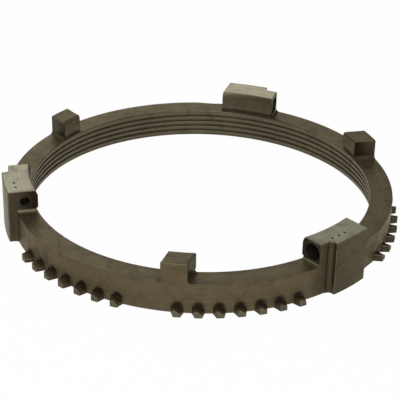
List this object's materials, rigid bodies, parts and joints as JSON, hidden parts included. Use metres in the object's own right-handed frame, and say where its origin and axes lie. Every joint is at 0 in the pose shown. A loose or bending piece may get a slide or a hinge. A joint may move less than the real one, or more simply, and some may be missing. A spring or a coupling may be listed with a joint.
{
  "type": "synchronizer ring",
  "caption": "Steel gearbox synchronizer ring with a grooved inner cone, tall bored lugs, plain stop lugs and pointed teeth round its outer wall.",
  "frame": {"origin": "on the ring's axis, in the plane of its flat bottom face", "axes": "+Z along the ring's axis towards the lugs, +Y through the middle of one tall lug"},
  "size_m": [0.2178, 0.217, 0.0299],
  "materials": {
    "dark_machined_steel": "satin machined steel with a dark oily film, brighter on the ground lug tops and pads"
  },
  "bodies": {
    "root": {"synchronizer_ring": "dark_machined_steel"}
  },
  "joints": []
}
